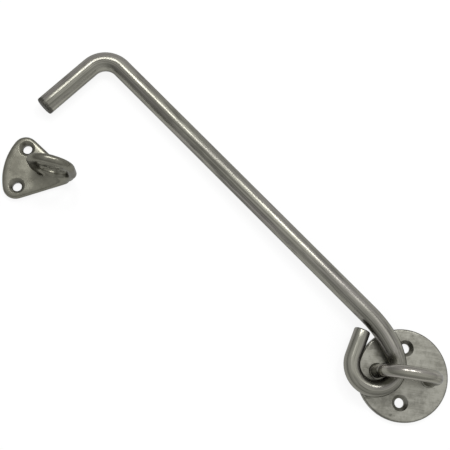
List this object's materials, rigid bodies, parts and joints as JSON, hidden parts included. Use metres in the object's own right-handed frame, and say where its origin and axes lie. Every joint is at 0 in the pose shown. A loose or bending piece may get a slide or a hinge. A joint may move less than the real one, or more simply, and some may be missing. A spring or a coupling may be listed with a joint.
{
  "type": "hook and eye latch",
  "caption": "Round-bar swing hook held by a staple on a round screw plate, with a separate cast strike plate whose upright eye takes the hook's arm.",
  "frame": {"origin": "centre of the round plate's back face, on the surface it is screwed to", "axes": "+Z away from that surface, +X from the staple's near leg, which the hook swings on, to its far leg, +Y along the plate's two screw holes"},
  "size_m": [0.2397, 0.1655, 0.0334],
  "materials": {
    "plate_steel": "satin",
    "staple_steel": "half polished",
    "hook_steel": "brushed along the bar",
    "cast_steel": "tumbled and half polished"
  },
  "bodies": {
    "base": {"base_plate": "plate_steel", "staple": "staple_steel", "strike_plate": "cast_steel"},
    "hook": {"hook": "hook_steel"}
  },
  "joints": [
    {"name": "hook_swing", "type": "hinge", "parent": "base", "child": "hook", "pos_m": [-0.01325, 0, 0.0089], "axis": [0, 0, 1], "range_deg": [-77, 3.5]}
  ]
}
